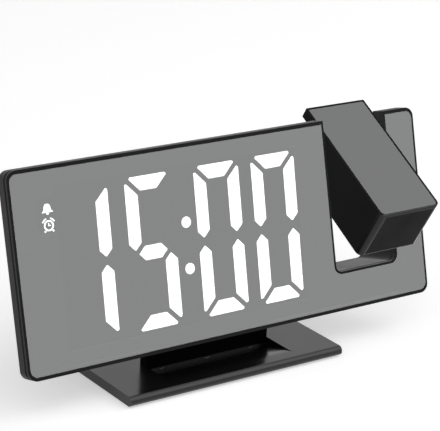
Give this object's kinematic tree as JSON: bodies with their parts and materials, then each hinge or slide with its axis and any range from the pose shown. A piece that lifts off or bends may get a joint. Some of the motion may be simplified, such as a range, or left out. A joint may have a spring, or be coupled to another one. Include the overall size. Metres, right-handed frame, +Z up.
{
  "type": "projection alarm clock",
  "caption": "Wide mirror-fronted alarm clock with a tilting projector block in a notch at its upper right, on a flat gloss-black stand.",
  "frame": {"origin": "on the desk, under the front of the neck's foot, at the middle of the body's width", "axes": "+X along the body's width to the viewer's right, +Y from the front to the back, +Z up"},
  "size_m": [0.1956, 0.0745, 0.0961],
  "materials": {
    "frame_black": "fine satin moulding",
    "smoked_mirror": "smoked half mirror, polished",
    "case_black": "fine spark-eroded grain",
    "display_black": "matt black",
    "lit_white": "translucent, lit from behind",
    "unlit_grey": "smoked translucent",
    "board_green": "green solder mask",
    "led_resin": "clear resin over phosphor",
    "chip_black": "moulded epoxy",
    "screw_steel": "zinc plated",
    "speaker_black": "black frame and paper cone",
    "holder_white": "natural nylon",
    "cell_steel": "bright nickel plate",
    "plated_steel": "tin plate",
    "button_black": "satin",
    "screw_black": "black oxide",
    "base_gloss": "piano black",
    "neck_black": "black satin gloss",
    "foot_rubber": "matt",
    "bush_acetal": "natural acetal",
    "axle_steel": "turned",
    "lead_red": "thin insulated wire pair",
    "projector_black": "matt black moulding",
    "projector_mirror": "smoked half mirror, polished",
    "optics_black": "matt black",
    "lamp_aluminium": "white-printed metal core board",
    "lamp_red": "red lamp, clear dome",
    "clear_acrylic": "clear acrylic",
    "slide_glass": "small liquid crystal panel",
    "focus_black": "matt black",
    "lens_red": "coated lens"
  },
  "bodies": {
    "clock": {"front_frame": "frame_black", "mirror_pane": "smoked_mirror", "rear_case": "case_black", "display_block": "display_black", "lit_segments": "lit_white", "unlit_segments": "unlit_grey", "colon_dots": "lit_white", "alarm_window": "display_black", "alarm_icons": "lit_white", "display_board": "board_green", "display_leds": "led_resin", "main_board": "board_green", "board_parts": "chip_black", "board_header": "chip_black", "board_screws": "screw_steel", "button_switches": "chip_black", "speaker": "speaker_black", "cell_holder": "holder_white", "coin_cell": "cell_steel", "power_socket": "plated_steel", "usb_port": "plated_steel", "case_screws": "screw_black", "stand_base": "base_gloss", "stand_neck": "neck_black", "stand_screws": "screw_black", "neck_screws": "screw_black", "rubber_feet": "foot_rubber", "hinge_bush_left": "bush_acetal", "hinge_bush_right": "bush_acetal", "case_lead": "lead_red"},
    "projector": {"hinge_axle_left": "axle_steel", "hinge_axle_right": "axle_steel", "hinge_washers": "axle_steel", "hinge_clips": "axle_steel", "projector_shell": "projector_black", "projector_mirror": "projector_mirror", "projector_cover": "projector_black", "projector_screws": "screw_black", "optics_frame": "optics_black", "lamp_board": "lamp_aluminium", "lamp_led": "lamp_red", "condenser_lens": "clear_acrylic", "image_slide": "slide_glass", "lamp_lead": "lead_red"},
    "focus_ring": {"focus_ring": "focus_black"},
    "lens": {"lens_barrel": "focus_black", "projection_lens": "lens_red"},
    "mode_button": {"mode_button": "button_black"},
    "up_button": {"up_button": "button_black"},
    "down_button": {"down_button": "button_black"},
    "alarm_button": {"alarm_button": "button_black"},
    "projector_button": {"projector_button": "button_black"},
    "snooze_bar": {"snooze_bar": "button_black"},
    "battery_door": {"battery_door": "case_black"}
  },
  "joints": [
    {"name": "projector_tilt", "type": "hinge", "parent": "clock", "child": "projector", "pos_m": [0.06575, 0.01173, 0.08033], "axis": [-1, 0, 0], "range_deg": [-135, 45]},
    {"name": "focus_turn", "type": "hinge", "parent": "projector", "child": "focus_ring", "pos_m": [0.06575, 0.01911, 0.08205], "axis": [0, 0.866, 0.5], "range_deg": [-150, 150]},
    {"name": "lens_travel", "type": "slide", "parent": "projector", "child": "lens", "axis": [0, 0.866, 0.5], "range_m": [-0.0015, 0.0015]},
    {"name": "mode_press", "type": "slide", "parent": "clock", "child": "mode_button", "axis": [0, -0.9659, 0.2588], "range_m": [0, 0.0005], "stiffness_N_per_m": 600, "springref_m": -0.0005},
    {"name": "up_press", "type": "slide", "parent": "clock", "child": "up_button", "axis": [0, -0.9659, 0.2588], "range_m": [0, 0.0005], "stiffness_N_per_m": 600, "springref_m": -0.0005},
    {"name": "down_press", "type": "slide", "parent": "clock", "child": "down_button", "axis": [0, -0.9659, 0.2588], "range_m": [0, 0.0005], "stiffness_N_per_m": 600, "springref_m": -0.0005},
    {"name": "alarm_press", "type": "slide", "parent": "clock", "child": "alarm_button", "axis": [0, -0.9659, 0.2588], "range_m": [0, 0.0005], "stiffness_N_per_m": 600, "springref_m": -0.0005},
    {"name": "projector_press", "type": "slide", "parent": "clock", "child": "projector_button", "axis": [0, -0.9659, 0.2588], "range_m": [0, 0.0005], "stiffness_N_per_m": 600, "springref_m": -0.0005},
    {"name": "snooze_press", "type": "slide", "parent": "clock", "child": "snooze_bar", "axis": [0, -0.2588, -0.9659], "range_m": [0, 0.0006], "stiffness_N_per_m": 800, "springref_m": -0.0005},
    {"name": "battery_door_lift", "type": "slide", "parent": "clock", "child": "battery_door", "axis": [0, 0.9659, -0.2588], "range_m": [0, 0.012]}
  ],
  "couplings": [
    {"joint": "focus_turn", "follows": "lens_travel", "rad_per_m": 1745.3}
  ]
}
